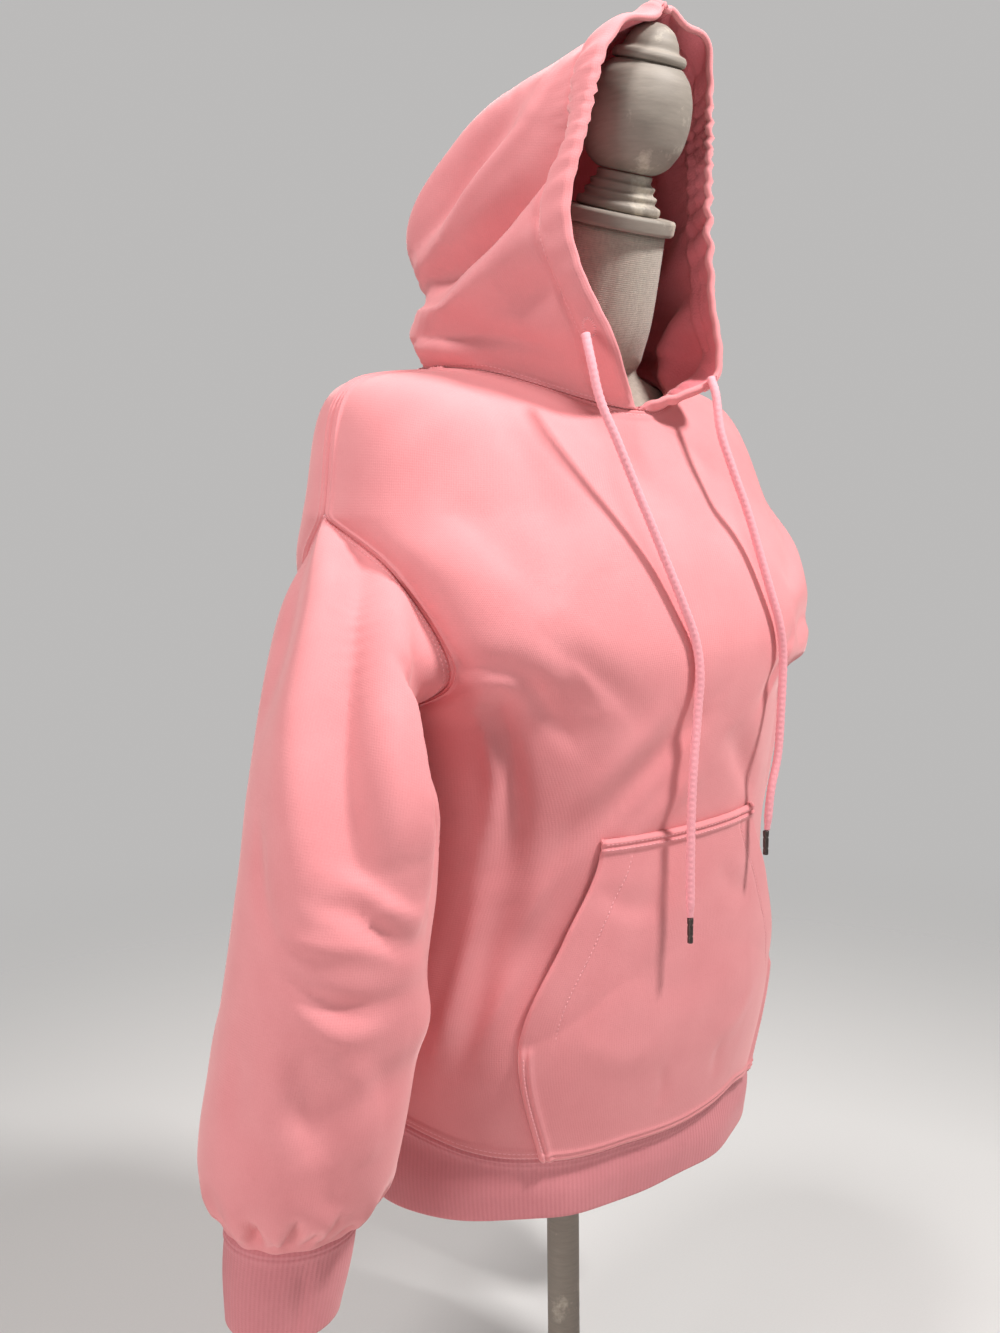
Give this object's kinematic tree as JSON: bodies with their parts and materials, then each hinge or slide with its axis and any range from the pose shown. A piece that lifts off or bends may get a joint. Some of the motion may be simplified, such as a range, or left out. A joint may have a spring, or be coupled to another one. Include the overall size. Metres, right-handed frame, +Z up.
{
  "type": "hoodie on dress form",
  "caption": "Pullover hoodie with raised hood, kangaroo pocket and hanging drawcords, worn by a limbless dress form on a post and round base.",
  "frame": {"origin": "centre of the round base's underside, on the floor", "axes": "+Z up along the post, -Y the way the hoodie's front faces, -X the wearer's right"},
  "size_m": [0.6859, 0.358, 1.294],
  "materials": {
    "fleece": "smooth-faced cotton fleece, dyed salmon pink, matt",
    "rib_knit": "fine one-by-one rib knit, dyed salmon pink, matt",
    "drawcord": "round knitted cord, light pink",
    "aglet": "dark crimped metal tip, satin",
    "form_cover": "grey-brown plain-woven cover, stretched smooth",
    "painted_wood": "turned wood, grey-taupe matt paint with small pale scuffs"
  },
  "bodies": {
    "root": {"front_body": "fleece", "back_body": "fleece", "sleeve_right": "fleece", "sleeve_left": "fleece", "cuff_right": "rib_knit", "cuff_left": "rib_knit", "hem_rib": "rib_knit", "hood_right": "fleece", "hood_left": "fleece", "kangaroo_pocket": "fleece", "drawcord_right": "drawcord", "drawcord_left": "drawcord", "aglet_right": "aglet", "aglet_left": "aglet", "form_torso": "form_cover", "neck_plate": "painted_wood", "neck_turning": "painted_wood", "finial": "painted_wood", "form_post": "painted_wood", "form_base": "painted_wood"}
  },
  "joints": []
}
